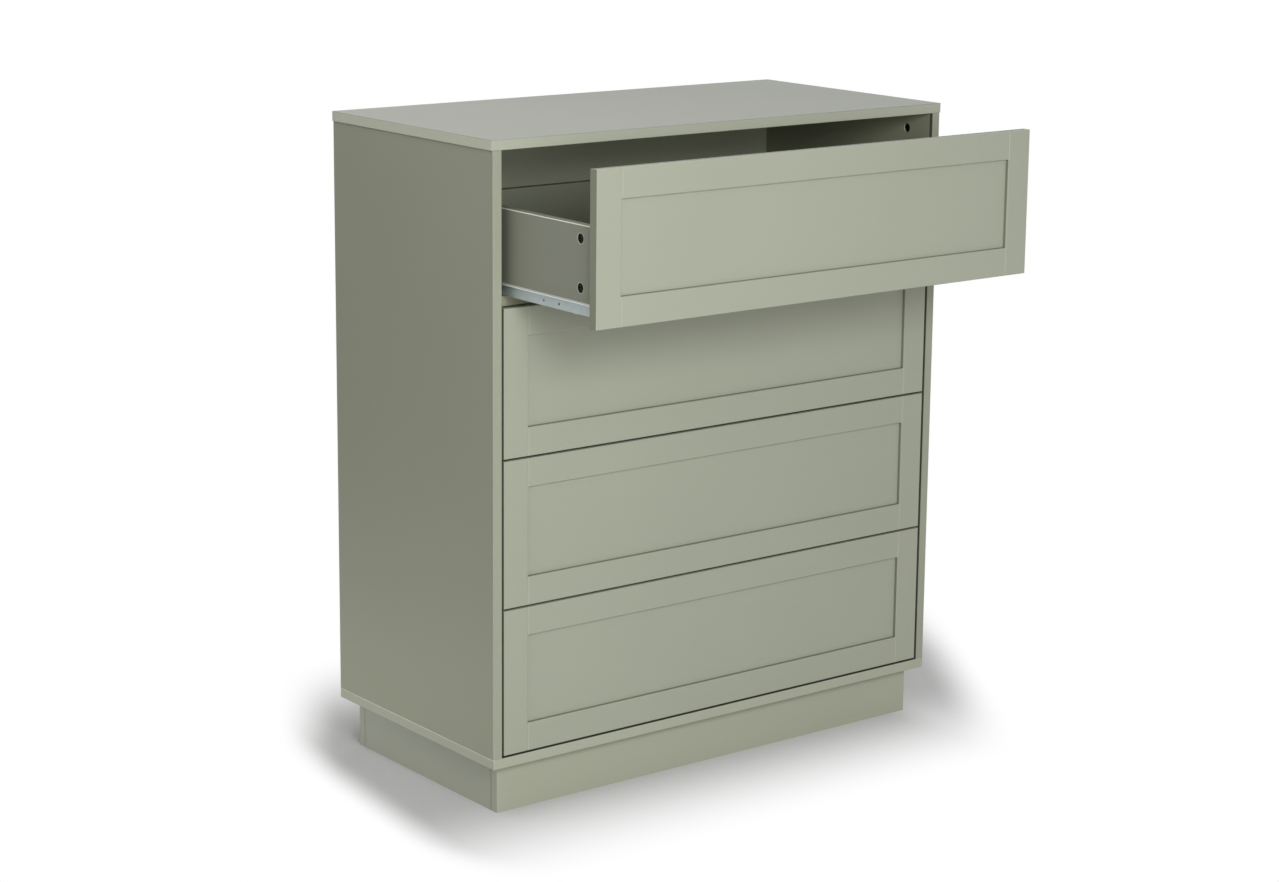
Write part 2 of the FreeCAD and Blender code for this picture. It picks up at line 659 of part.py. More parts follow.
def make_drawer_runner(side):
    """Drawer half: a leg under the drawer side, a web beside it, a flange and the rear axle."""
    runner = new_body(f"drawer_runner_{'left' if side == LEFT else 'right'}")
    y_span = (front_rear, box_rear)
    block(runner, "web", mirrored(side, box_out, drawer_web), y_span,
          (track_z - d.runner_steel, flange_top))
    block(runner, "leg", mirrored(side, box_out - d.runner_leg, drawer_web), y_span,
          (track_z - d.runner_steel, track_z))
    flange = block(runner, "flange", mirrored(side, box_out, cabinet_web - d.flange_clearance), y_span,
                   (flange_under, flange_top))

    def bend(edge, whole):
        outer_x = value_of(drawer_web * side)
        inner_x = value_of(box_out * side)
        low = same(edge.XMin, outer_x, whole) and same(edge.ZMax, whole.ZMin, whole)
        high = same(edge.XMin, inner_x, whole) and same(edge.ZMin, whole.ZMax, whole)
        return (low or high) and same(edge.YLength, whole.YLength, whole)

    round_edges(runner, flange, d.runner_bend, bend)
    rod(runner, "axle", d.axle_radius, (drawer_web * side, rear_roller_y, rear_roller_z),
        X_AXIS * side, axle_length + d.axle_head)
    rod(runner, "axle_head", d.axle_head_radius,
        ((drawer_web + axle_length) * side, rear_roller_y, rear_roller_z), X_AXIS * side, d.axle_head)
    for step in (0, 1):
        rod(runner, "spare_hole", d.runner_hole_radius,
            ((box_out - d.overrun) * side, front_rear + d.runner_hole_start + d.runner_hole_step * step,
             d.side_lift + d.runner_hole_lift),
            X_AXIS * side, d.runner_steel + 2 * d.overrun, cut=True)
    for y in leg_screw_ys:
        rod(runner, "screw_hole", d.runner_screw_radius + d.fit_clearance,
            (leg_screw_x * side, y, track_z - d.runner_steel - d.overrun), Z_AXIS,
            d.runner_steel + 2 * d.overrun, cut=True)
    return runner


def make_roller():
    """Roller along Z, its middle at the origin."""
    body = new_body("roller")
    half = roller_width / 2
    wheel = rod(body, "wheel", d.roller_radius, (ZERO, ZERO, -half), Z_AXIS, roller_width)
    round_edges(body, wheel, d.roller_round, on_rim)
    rod(body, "axle_bore", d.axle_radius + d.axle_clearance, (ZERO, ZERO, -half - d.overrun), Z_AXIS,
        roller_width + 2 * d.overrun, cut=True)
    dish_radius = d.roller_radius - d.roller_dish_margin
    rod(body, "upper_dish", dish_radius, (ZERO, ZERO, half - d.roller_dish), Z_AXIS,
        d.roller_dish + d.overrun, cut=True)
    rod(body, "lower_dish", dish_radius, (ZERO, ZERO, d.roller_dish - half), -Z_AXIS,
        d.roller_dish + d.overrun, cut=True)
    return body


roller = make_roller()
cabinet_runner = {side: make_cabinet_runner(side) for side in (LEFT, RIGHT)}
drawer_runner = {side: make_drawer_runner(side) for side in (LEFT, RIGHT)}
roller_turn = turned(X_AXIS, Y_AXIS)
front_roller_x = cabinet_web - d.roller_play - roller_width / 2
rear_roller_x = drawer_web + d.roller_play + roller_width / 2

group_node("cabinet_runners", [copy_of(cabinet_runner[side], closed_place(n))
                               for side in (LEFT, RIGHT) for n in range(1, DRAWERS + 1)])

# Push latches: a housing screwed to the right side panel, and a plunger that slides in it.
latch_housing = new_body("latch_housing")
latch_low = latch_z - d.latch_height / 2
latch_high = latch_z + d.latch_height / 2
blank = block(latch_housing, "blank", (latch_in, side_in), (latch_start, latch_start + d.latch_length),
              (latch_low, latch_high))
round_edges(latch_housing, blank, d.edge_round, on_front)
rod(latch_housing, "plunger_bore", d.plunger_radius + d.axle_clearance,
    (latch_mid_x, latch_start - d.overrun, latch_z), Y_AXIS,
    plunger_end + d.plunger_travel + d.fit_clearance - latch_start + d.overrun, cut=True)
for y, z in latch_screw_places:
    rod(latch_housing, "screw_hole", d.latch_screw_radius + d.fit_clearance, (latch_in - d.overrun, y, z),
        X_AXIS, side_in - latch_in + 2 * d.overrun, cut=True)
    rod(latch_housing, "head_recess", d.latch_head_radius + d.fit_clearance, (latch_in - d.overrun, y, z),
        X_AXIS, d.latch_head_recess + d.overrun, cut=True)
group_node("push_latch_housings", [copy_of(latch_housing, closed_place(n)) for n in range(1, DRAWERS + 1)])

for number in range(1, DRAWERS + 1):
    plunger = new_body(f"latch_plunger_{number}")
    rod(plunger, "tip", d.plunger_tip_radius, (latch_mid_x, plunger_start, latch_z), Y_AXIS,
        d.plunger_tip_length)
    rod(plunger, "stem", d.plunger_radius, (latch_mid_x, plunger_start, latch_z), Y_AXIS, d.plunger_length)
    as_node(plunger, closed_place(number))

# Applied strips of a drawer front, the same for every drawer.
strip_y = (ZERO, d.strip_board)
rail_half = front_half - d.strip_width
strip_spans = {
    "left_stile": ((-front_half, -rail_half), (ZERO, front_height)),
    "right_stile": ((rail_half, front_half), (ZERO, front_height)),
    "lower_rail": ((-rail_half, rail_half), (ZERO, d.strip_width)),
    "upper_rail": ((-rail_half, rail_half), (front_height - d.strip_width, front_height)),
}
strips = []
for label, (x_span, z_span) in strip_spans.items():
    strip = new_body(label)
    blank = block(strip, "blank", x_span, strip_y, z_span)
    round_edges(strip, blank, d.strip_round, on_front)
    strips.append(strip)

# Fasteners of a drawer, the same for every drawer.
drawer_fasteners = []
for side in (LEFT, RIGHT):
    for z in drawer_cam_zs:
        drawer_fasteners.append(copy_of(drawer_cam, (box_out * side, front_rear + d.drawer_cam_setback, z),
                                        turned(X_AXIS * side, -Y_AXIS)))
        drawer_fasteners.append(copy_of(drawer_bolt, (box_mid * side, front_rear, z),
                                        turned(-Y_AXIS, X_AXIS)))
    for z in joint_screw_zs:
        drawer_fasteners.append(copy_of(joint_screw,
                                        ((box_out - d.joint_head_depth) * side, joint_screw_y, z),
                                        turned(X_AXIS * side, Z_AXIS)))
    for y in leg_screw_ys:
        drawer_fasteners.append(copy_of(runner_screw, (leg_screw_x * side, y, track_z - d.runner_steel),
                                        turned(-Z_AXIS, X_AXIS)))
nail_z = bottom_z + d.panel_clearance
for share in NAIL_SHARES:
    drawer_fasteners.append(copy_of(nail, (box_in * share, joint_screw_y, nail_z), turned(-Z_AXIS, X_AXIS)))

for number in range(1, DRAWERS + 1):
    name = f"drawer_{number}"
    place = drawer_place(number)

    front = new_body(f"{name}_front_panel")
    blank = block(front, "blank", (-front_half, front_half), (d.strip_board, front_rear),
                  (ZERO, front_height))
    round_edges(front, blank, d.edge_round, on_rear)
    block(front, "bottom_groove", (-bottom_groove_half, bottom_groove_half),
          (front_rear - d.groove_depth, front_rear + d.overrun), bottom_groove_z, cut=True)
    for side in (LEFT, RIGHT):
        for z in drawer_cam_zs:
            rod(front, "bolt_bore", d.thread_radius + d.fit_clearance,
                (box_mid * side, front_rear + d.overrun, z), -Y_AXIS,
                d.drawer_thread + d.fit_clearance + d.overrun, cut=True)
    as_node(front, place)
    group_node(f"{name}_front_frame", strips, place)

    for side_name, side in (("left", LEFT), ("right", RIGHT)):
        board = new_body(f"{name}_{side_name}_side")
        inward = X_AXIS * -side
        outer_x = (box_out + d.overrun) * side
        blank = block(board, "blank", mirrored(side, box_in, box_out), (front_rear, box_rear),
                      (d.side_lift, side_top))
        round_edges(board, blank, d.edge_round, on_top)
        block(board, "bottom_groove", mirrored(side, box_in - d.overrun, bottom_groove_half),
              (front_rear - d.overrun, box_rear + d.overrun), bottom_groove_z, cut=True)
        for z in drawer_cam_zs:
            rod(board, "cam_bore", d.cam_radius + d.fit_clearance,
                (outer_x, front_rear + d.drawer_cam_setback, z), inward,
                drawer_cam_height + d.fit_clearance + d.overrun, cut=True)
            rod(board, "bolt_bore", d.bolt_radius + d.fit_clearance,
                (box_mid * side, front_rear - d.overrun, z), Y_AXIS,
                d.drawer_cam_setback + d.overrun, cut=True)
        for z in joint_screw_zs:
            rod(board, "joint_bore", d.joint_screw_radius + d.fit_clearance, (outer_x, joint_screw_y, z),
                inward, d.box_board + 2 * d.overrun, cut=True)
            rod(board, "joint_head_bore", d.joint_head_radius + d.fit_clearance, (outer_x, joint_screw_y, z),
                inward, d.joint_head_depth + d.overrun, cut=True)
        for y in leg_screw_ys:
            rod(board, "runner_bore", d.runner_screw_radius + d.fit_clearance,
                (leg_screw_x * side, y, d.side_lift - d.overrun), Z_AXIS,
                d.runner_screw_length + d.fit_clearance + d.overrun, cut=True)
        as_node(board, place)

    box_back = new_body(f"{name}_back")
    blank = block(box_back, "blank", (-box_in, box_in), (box_rear - d.box_board, box_rear),
                  (box_back_z, side_top))
    round_edges(box_back, blank, d.edge_round,
                lambda edge, whole: on_top(edge, whole) and edge.XLength > edge.YLength)
    for side in (LEFT, RIGHT):
        for z in joint_screw_zs:
            rod(box_back, "joint_bore", d.joint_screw_radius + d.fit_clearance,
                ((box_in + d.overrun) * side, joint_screw_y, z), X_AXIS * -side,
                d.joint_screw_length + d.joint_head_depth - d.box_board + d.fit_clearance + d.overrun,
                cut=True)
    for share in NAIL_SHARES:
        rod(box_back, "nail_bore", d.nail_radius + d.fit_clearance,
            (box_in * share, joint_screw_y, box_back_z - d.overrun), Z_AXIS,
            d.nail_length + d.fit_clearance + d.overrun, cut=True)
    as_node(box_back, place)

    bottom = new_body(f"{name}_bottom")
    bottom_half = bottom_groove_half - d.panel_clearance
    block(bottom, "blank", (-bottom_half, bottom_half),
          (front_rear - d.groove_depth + d.panel_clearance, box_rear),
          (nail_z, nail_z + d.bottom_thickness))
    for share in NAIL_SHARES:
        rod(bottom, "nail_bore", d.nail_radius + d.fit_clearance,
            (box_in * share, joint_screw_y, nail_z - d.overrun), Z_AXIS,
            d.bottom_thickness + 2 * d.overrun, cut=True)
    as_node(bottom, place)

    group_node(f"{name}_runners", [drawer_runner[LEFT], drawer_runner[RIGHT]], place)
    group_node(f"{name}_rollers",
               [copy_of(roller, (rear_roller_x * side, rear_roller_y, rear_roller_z), roller_turn)
                for side in (LEFT, RIGHT)], place)
    group_node(f"{name}_fasteners", drawer_fasteners, place)
    group_node(f"cabinet_rollers_{number}",
               [copy_of(roller, (front_roller_x * side, front_roller_y, front_roller_z), roller_turn)
                for side in (LEFT, RIGHT)], closed_place(number))

doc.recompute()

for item in doc.Objects:
    if "Invalid" in item.State or "Error" in item.State:
        raise RuntimeError(f"{item.Label} did not build: {item.State}")
    if item.TypeId.startswith("PartDesign::Subtractive"):
        if item.BaseFeature.Shape.Volume <= item.Shape.Volume:
            raise RuntimeError(f"{item.Label} in {item.getParentGeoFeatureGroup().Label} cuts nothing")

os.makedirs("parts", exist_ok=True)
for label, item in nodes.items():
    if item.Shape.isNull() or not item.Shape.isValid():
        raise RuntimeError(f"{label} has no valid shape")
    item.Shape.exportStep(f"parts/{label}.step")
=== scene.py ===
import math

import bpy
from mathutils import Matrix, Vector


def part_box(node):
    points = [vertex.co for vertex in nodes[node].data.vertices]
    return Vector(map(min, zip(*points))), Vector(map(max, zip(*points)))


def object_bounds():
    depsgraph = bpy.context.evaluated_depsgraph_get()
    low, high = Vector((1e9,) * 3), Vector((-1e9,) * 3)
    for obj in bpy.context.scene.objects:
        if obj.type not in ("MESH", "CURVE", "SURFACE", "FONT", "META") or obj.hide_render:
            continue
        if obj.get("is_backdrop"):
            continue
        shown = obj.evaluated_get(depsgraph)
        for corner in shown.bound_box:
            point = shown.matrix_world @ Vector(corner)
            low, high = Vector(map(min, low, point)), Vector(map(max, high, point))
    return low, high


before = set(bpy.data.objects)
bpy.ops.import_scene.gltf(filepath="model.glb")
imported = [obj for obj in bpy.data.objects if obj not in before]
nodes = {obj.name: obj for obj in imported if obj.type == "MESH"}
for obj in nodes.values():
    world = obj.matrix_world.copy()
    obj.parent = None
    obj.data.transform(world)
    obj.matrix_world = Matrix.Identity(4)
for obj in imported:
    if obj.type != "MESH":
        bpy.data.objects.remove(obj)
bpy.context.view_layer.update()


# Plinth: a front and a back board with three cross boards doweled between them, set back under
# the chest. It is cut from chipboard, edged, and sprayed with the same sage lacquer as the rest.

class Signal:
    """One output in a material's node tree; arithmetic on it adds Math nodes."""

    def __init__(self, tree, socket):
        self.tree = tree
        self.socket = socket

    def node(self, kind, settings=None, inputs=None, output=0):
        """Add any node: its settings first, then the values or links of its sockets."""
        made = self.tree.nodes.new(kind)
        for name, value in (settings or {}).items():
            setattr(made, name, value)
        for name, value in (inputs or {}).items():
            if isinstance(value, Signal):
                self.tree.links.new(value.socket, made.inputs[name])
            else:
                made.inputs[name].default_value = value
        return Signal(self.tree, made.outputs[output])

    def math(self, operation, *values):
        """Add a Math node."""
        return self.node("ShaderNodeMath", {"operation": operation}, dict(enumerate(values)))

    def __add__(self, other):
        return self.math("ADD", self, other)

    __radd__ = __add__

    def __sub__(self, other):
        return self.math("SUBTRACT", self, other)

    def __rsub__(self, other):
        return self.math("SUBTRACT", other, self)

    def __mul__(self, other):
        return self.math("MULTIPLY", self, other)

    __rmul__ = __mul__

    def __or__(self, other):
        return self.math("MAXIMUM", self, other)

    def __gt__(self, other):
        return self.math("GREATER_THAN", self, other)

    def __lt__(self, other):
        return self.math("LESS_THAN", self, other)

    def __abs__(self):
        return self.math("ABSOLUTE", self)

    def axis(self, name):
        """One component of a place."""
        return self.node("ShaderNodeSeparateXYZ", None, {"Vector": self}, output=name)

    def noise(self, scale, detail=2.0, roughness=0.5, stretch=(1, 1, 1)):
        """Noise in metres of the object's own space, stretched along its axes."""
        mapped = self.node("ShaderNodeMapping", None, {"Vector": self, "Scale": stretch})
        return self.node("ShaderNodeTexNoise", None,
                         {"Vector": mapped, "Scale": scale, "Detail": detail, "Roughness": roughness})

    def ramp(self, start, end):
        """A smooth rise from 0 at start to 1 at end."""
        return self.node("ShaderNodeMapRange", {"interpolation_type": "SMOOTHSTEP"},
                         {"Value": self, "From Min": start, "From Max": end})

    def blend(self, low, high):
        """Colour from low to high by this signal."""
        return self.node("ShaderNodeMix", {"data_type": "RGBA"}, {0: self, 6: low, 7: high}, output=2)

    def bump(self, strength, distance):
        """Surface normal from this signal as a height."""
        return self.node("ShaderNodeBump", None,
                         {"Strength": strength, "Distance": distance, "Height": self})


def rgb(red, green, blue):
    """Shader colour from the eight-bit values a colour picker gives."""
    def linear(value):
        share = value / 255
        return share / 12.92 if share <= 0.04045 else ((share + 0.055) / 1.055) ** 2.4
    return (linear(red), linear(green), linear(blue), 1.0)


def new_finish(name):
    """A fresh material: its Principled shader and a signal of its object coordinates."""
    material = bpy.data.materials.new(name)
    material.use_nodes = True
    tree = material.node_tree
    shader = tree.nodes["Principled BSDF"]
    place = Signal(tree, tree.nodes.new("ShaderNodeTexCoord").outputs["Object"])
    return material, shader, place


def feed(shader, name, signal):
    """Link a signal to a socket of a shader."""
    shader.id_data.links.new(signal.socket, shader.inputs[name])


def dress(material, names):
    """Give CAD nodes a finish through their material slots."""
    for name in names:
        for slot in nodes[name].material_slots:
            slot.material = material


DRIFT_SCALE = 3.5
SPRAY_SCALE = 620.0
SANDING_SCALE = 90.0
SPRAY_HEIGHT = 0.00025


def sprayed_lacquer(name, deep, pale, roughness, specular=0.5):
    """Satin lacquer: slow drifts of tone, a fine spray texture and faint sanding marks below it."""
    material, shader, place = new_finish(name)
    shader.inputs["Specular IOR Level"].default_value = specular
    drift = place.noise(DRIFT_SCALE, detail=3.0)
    spray = place.noise(SPRAY_SCALE, detail=2.0, roughness=0.6)
    sanding = place.noise(SANDING_SCALE, detail=3.0, stretch=(0.12, 1.0, 1.0))
    tone = drift * 0.75 + spray * 0.12 + sanding * 0.13
    feed(shader, "Base Color", tone.blend(deep, pale))
    feed(shader, "Roughness", drift * 0.08 + spray * 0.06 + roughness)
    feed(shader, "Normal", (spray * 0.7 + sanding * 0.3).bump(0.10, SPRAY_HEIGHT))
    return material


def tint(material, where, colour):
    """Lay a colour over a finish where a mask, worked out from the place, says so."""
    tree = material.node_tree
    shader = tree.nodes["Principled BSDF"]
    place = Signal(tree, tree.nodes["Texture Coordinate"].outputs["Object"])
    ground = Signal(tree, shader.inputs["Base Color"].links[0].from_socket)
    feed(shader, "Base Color", where(place).blend(ground, colour))


JOINT_HALF = 0.001
CUT_FACE = 0.0004
JOINT_TONE = rgb(126, 129, 112)
plinth_lacquer = sprayed_lacquer("plinth_lacquer", rgb(172, 175, 155), rgb(180, 183, 163), 0.36)
plinth_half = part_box("plinth_front")[1].x
cross_front, cross_back = [corner.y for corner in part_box("plinth_left")]
tint(plinth_lacquer, lambda place: abs(place.axis("X")) > plinth_half - CUT_FACE, rgb(155, 158, 143))
tint(plinth_lacquer, lambda place: abs(place.axis("Y") - cross_front) < JOINT_HALF, JOINT_TONE)
tint(plinth_lacquer, lambda place: abs(place.axis("Y") - cross_back) < JOINT_HALF, JOINT_TONE)
dress(plinth_lacquer, ["plinth_front", "plinth_back", "plinth_left", "plinth_right", "plinth_centre_rail"])


# Bottom panel: sixteen-millimetre board under the whole carcass, edged and lacquered. Its lacquer is painted
# paler than the sides', painted light thrown up from the floor. Its edges show below the sides, the ends a
# little deeper in tone, with a painted highlight along the upper arris. The upper face is darkened to give
# the gap under the lowest front the depth of shade that the photograph shows.

ARRIS = 0.0012
bottom_lacquer = sprayed_lacquer("bottom_lacquer", rgb(178, 181, 162), rgb(186, 189, 170), 0.42, 0.16)
bottom_low, bottom_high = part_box("bottom_panel")


def front_arris_highlight(place):
    """The upper arris along the front of the bottom panel, where a highlight is painted."""
    return (place.axis("Z") > bottom_high.z - ARRIS) * (place.axis("Y") < bottom_low.y + ARRIS)


def end_arris_highlight(place):
    """The upper arris along both ends of the bottom panel, where a highlight is painted."""
    return (place.axis("Z") > bottom_high.z - ARRIS) * (abs(place.axis("X")) > bottom_high.x - ARRIS)


# Deeper ends; the upper face painted dark as shade; painted highlights along the front and end arrises.
tint(bottom_lacquer, lambda place: abs(place.axis("X")) > bottom_high.x - CUT_FACE, rgb(163, 166, 149))
tint(bottom_lacquer, lambda place: place.axis("Z") > bottom_high.z - CUT_FACE, rgb(96, 99, 86))
tint(bottom_lacquer, front_arris_highlight, rgb(186, 189, 171))
tint(bottom_lacquer, end_arris_highlight, rgb(208, 211, 192))
dress(bottom_lacquer, ["bottom_panel"])


# Sides and divider rails: the same board, standing on the bottom panel and joined by cam locks and dowels.
# Their lacquer is painted darker than the fronts', painted shade for faces turned from the light. The bands
# on their front edges keep about the fronts' tone, and their inner faces are painted paler, painted light in
# the dark inside. The strip in the gap beside the fronts is darkened to the depth of shade that the
# photograph shows there.

GAP_DEPTH = 0.006
INNER_ROUND = 0.0006
carcass_lacquer = sprayed_lacquer("carcass_lacquer", rgb(142, 145, 127), rgb(150, 153, 135), 0.42, 0.14)
inner_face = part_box("right_side_panel")[0].x
# Inner faces painted paler as painted light; front edge bands back to about the fronts' tone.
tint(carcass_lacquer, lambda place: abs(place.axis("X")) < inner_face + CUT_FACE, rgb(163, 166, 143))
front_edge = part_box("right_side_panel")[0].y
tint(carcass_lacquer, lambda place: place.axis("Y") < front_edge + ARRIS, rgb(168, 172, 153))


def beside_fronts(place):
    """The strip of an inner face in the gap beside the closed fronts."""
    return (abs(place.axis("X")) < inner_face + INNER_ROUND) * (place.axis("Y") < front_edge + GAP_DEPTH)


tint(carcass_lacquer, beside_fronts, rgb(92, 95, 82))
dress(carcass_lacquer, ["left_side_panel", "right_side_panel", "divider_rails"])


def below_coat(material, name, colour):
    """Colour the bores and grooves of a board, below its coated skin."""
    low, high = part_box(name)
    middle = (low + high) / 2
    half = (high - low) / 2

    def below_skin(place):
        across, along, up = [abs(place.axis("XYZ"[i]) - middle[i]) < half[i] - ARRIS for i in range(3)]
        return across * along * up

    tint(material, below_skin, colour)


# The bores are bare board, painted near white so that their lit walls carry a painted highlight.
BARE_BORE_HIGHLIGHT = rgb(236, 231, 215)
below_coat(carcass_lacquer, "left_side_panel", BARE_BORE_HIGHLIGHT)
below_coat(carcass_lacquer, "right_side_panel", BARE_BORE_HIGHLIGHT)


# Top panel: the same lacquered board, held from below by the cam locks of the sides. It overlaps them
# by two millimetres. Its face is painted greyer than the rest, a painted sheen, and its edge band is
# painted paler, painted light.

top_lacquer = sprayed_lacquer("top_lacquer", rgb(157, 160, 148), rgb(165, 168, 157), 0.3, 0.12)
top_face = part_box("top_panel")[1].z
tint(top_lacquer, lambda place: place.axis("Z") < top_face - ARRIS, rgb(186, 190, 172))
dress(top_lacquer, ["top_panel"])


# Back panel and drawer bottoms: three-millimetre fibreboard with a printed coat, flatter than the
# lacquer and with the fibres just showing. They slide into grooves, and nails hold the bottoms. The back
# panel's print is painted far paler, painted light in the dark inside of the carcass; the bottoms' print is
# painted as deep as the foil of the drawer sides, painted shade inside the drawers.

DRAWERS = range(1, 5)
FIBRE_SCALE = 240.0
FIBRE_HEIGHT = 0.0002
PRINT_DRIFT_SCALE = 5.0


def printed_fibreboard(name, deep, pale):
    """Fibreboard under a thin printed coat."""
    material, shader, place = new_finish(name)
    shader.inputs["Specular IOR Level"].default_value = 0.2
    fibre = place.noise(FIBRE_SCALE, detail=4.0, roughness=0.65, stretch=(1.0, 0.35, 1.0))
    drift = place.noise(PRINT_DRIFT_SCALE)
    feed(shader, "Base Color", (fibre * 0.5 + drift * 0.5).blend(deep, pale))
    feed(shader, "Roughness", fibre * 0.14 + 0.5)
    feed(shader, "Normal", fibre.bump(0.12, FIBRE_HEIGHT))
    return material


dress(printed_fibreboard("painted_light_fibreboard", rgb(214, 218, 194), rgb(226, 230, 206)), ["back_panel"])
drawer_fibreboard = printed_fibreboard("painted_shade_fibreboard", rgb(124, 127, 111), rgb(136, 139, 123))
dress(drawer_fibreboard, [f"drawer_{n}_bottom" for n in DRAWERS])


# Dowels: raw beech pegs, fluted and glued between the boards of carcass and plinth.
# The grain runs along the peg in fine darker flecks.

GRAIN_SCALE = 160.0
GRAIN_HEIGHT = 0.0002
beech, shader, place = new_finish("raw_beech")
grain = place.noise(GRAIN_SCALE, detail=5.0, roughness=0.6, stretch=(1.0, 1.0, 0.08))
feed(shader, "Base Color", grain.blend(rgb(186, 146, 102), rgb(218, 184, 140)))
feed(shader, "Roughness", grain * 0.2 + 0.55)
feed(shader, "Normal", grain.bump(0.2, GRAIN_HEIGHT))
dress(beech, ["carcass_dowels"])


# Screws of the runners and latches: steel with bright zinc plate, a little clouded.
# They are driven into the side panels through the sheet and the plastic.

CLOUD_SCALE = 300.0
CLOUD_HEIGHT = 0.0001
zinc_plate, shader, place = new_finish("zinc_plate")
cloud = place.noise(CLOUD_SCALE, detail=3.0)
shader.inputs["Metallic"].default_value = 1.0
feed(shader, "Base Color", cloud.blend(rgb(176, 178, 176), rgb(208, 210, 206)))
feed(shader, "Roughness", cloud * 0.2 + 0.22)
feed(shader, "Normal", cloud.bump(0.08, CLOUD_HEIGHT))
dress(zinc_plate, ["carcass_screws"])


# Cam locks of the carcass: dark die-cast zinc, grainy from the mould, sunk in bores of the side panels
# and turned with a cross-head driver until they hold the bolts of the top and bottom panels.

CASTING_SCALE = 900.0
CASTING_HEIGHT = 0.0002


def dark_casting(name):
    """Dark die casting with a grainy skin."""
    material, shader, place = new_finish(name)
    grain = place.noise(CASTING_SCALE, detail=3.0, roughness=0.7)
    shader.inputs["Metallic"].default_value = 0.85
    feed(shader, "Base Color", grain.blend(rgb(20, 25, 23), rgb(46, 52, 49)))
    feed(shader, "Roughness", grain * 0.25 + 0.3)
    feed(shader, "Normal", grain.bump(0.25, CASTING_HEIGHT))
    return material


carcass_casting = dark_casting("carcass_casting")
dress(carcass_casting, ["carcass_cam_fittings"])


# Runners: channels folded from galvanised sheet, one half screwed to the side panels and one under
# each drawer side. Rolling marks run along them over the crystals of the zinc. On a drawer's half the
# upper bend carries a painted highlight and the web just below it a painted shadow line of the flange.

BEND_HIGHLIGHT_DEPTH = 0.0013
FLANGE_SHADOW_DEPTH = 0.0036
CRYSTAL_SCALE = 130.0
ROLLED_SCALE = 700.0
ROLLED_HEIGHT = 0.0001


def galvanised_sheet(name):
    """Galvanised sheet with crystals and rolling marks."""
    material, shader, place = new_finish(name)
    crystal = place.node("ShaderNodeTexVoronoi", None, {"Vector": place, "Scale": CRYSTAL_SCALE},
                         output="Color")
    spangle = crystal.node("ShaderNodeRGBToBW", None, {"Color": crystal})
    rolled = place.noise(ROLLED_SCALE, detail=3.0, stretch=(1.0, 0.04, 1.0))
    shader.inputs["Metallic"].default_value = 0.5
    tone = spangle * 0.35 + rolled * 0.65
    feed(shader, "Base Color", tone.blend(rgb(156, 168, 167), rgb(190, 200, 198)))
    feed(shader, "Roughness", spangle * 0.1 + rolled * 0.15 + 0.34)
    feed(shader, "Normal", rolled.bump(0.12, ROLLED_HEIGHT))
    return material


dress(galvanised_sheet("cabinet_runner_sheet"), ["cabinet_runners"])
for n in DRAWERS:
    runner_sheet = galvanised_sheet(f"drawer_{n}_runner_sheet")
    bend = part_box(f"drawer_{n}_runners")[1].z
    # A painted shadow line under the flange, then a painted highlight on the upper bend.
    tint(runner_sheet, lambda place: place.axis("Z") > bend - FLANGE_SHADOW_DEPTH, rgb(84, 92, 94))
    tint(runner_sheet, lambda place: place.axis("Z") > bend - BEND_HIGHLIGHT_DEPTH, rgb(232, 234, 231))
    dress(runner_sheet, [f"drawer_{n}_runners"])


# Rollers of the runners: white moulded plastic with a matt grain, turning on riveted axles,
# one pair at the front of the cabinet runners and one at the rear of the drawer runners.

FLOW_SCALE = 180.0
MOULD_SCALE = 1800.0
MOULD_HEIGHT = 0.0001


def moulded_plastic(name, deep, pale, roughness):
    """Moulded plastic: faint flow marks and the fine grain of the mould."""
    material, shader, place = new_finish(name)
    flow = place.noise(FLOW_SCALE, detail=2.0)
    grain = place.noise(MOULD_SCALE, detail=2.0)
    feed(shader, "Base Color", (flow * 0.6 + grain * 0.4).blend(deep, pale))
    feed(shader, "Roughness", grain * 0.12 + roughness)
    feed(shader, "Normal", grain.bump(0.15, MOULD_HEIGHT))
    return material


white_moulding = moulded_plastic("white_moulding", rgb(222, 222, 216), rgb(236, 236, 231), 0.35)
for n in DRAWERS:
    dress(white_moulding, [f"cabinet_rollers_{n}", f"drawer_{n}_rollers"])


# Push latches: a grey moulded housing screwed to the right side panel behind each front,
# and a sprung plunger of darker, softer plastic that meets the back of the front.

grey_moulding = moulded_plastic("grey_moulding", rgb(120, 123, 122), rgb(138, 141, 140), 0.45)
dress(grey_moulding, ["push_latch_housings"])
plunger_moulding = moulded_plastic("plunger_moulding", rgb(84, 87, 86), rgb(104, 107, 106), 0.6)
dress(plunger_moulding, [f"latch_plunger_{n}" for n in DRAWERS])


# Drawer fronts: a thin board with two stiles and two rails glued on round a sunk field, lacquered
# as one. The cut edges of the strips round the field are painted darker as shade in the recess, the outer
# edges of the front darker still as shade in the gaps, and the seams between stiles and rails carry a
# paler line, a painted highlight on their rounded edges.

STRIP_WIDTH = 0.045
STRIP_ROUND = 0.0015
EDGE_WIDTH = 0.0005
SEAM_HALF = 0.0012
SOFT = 0.0006


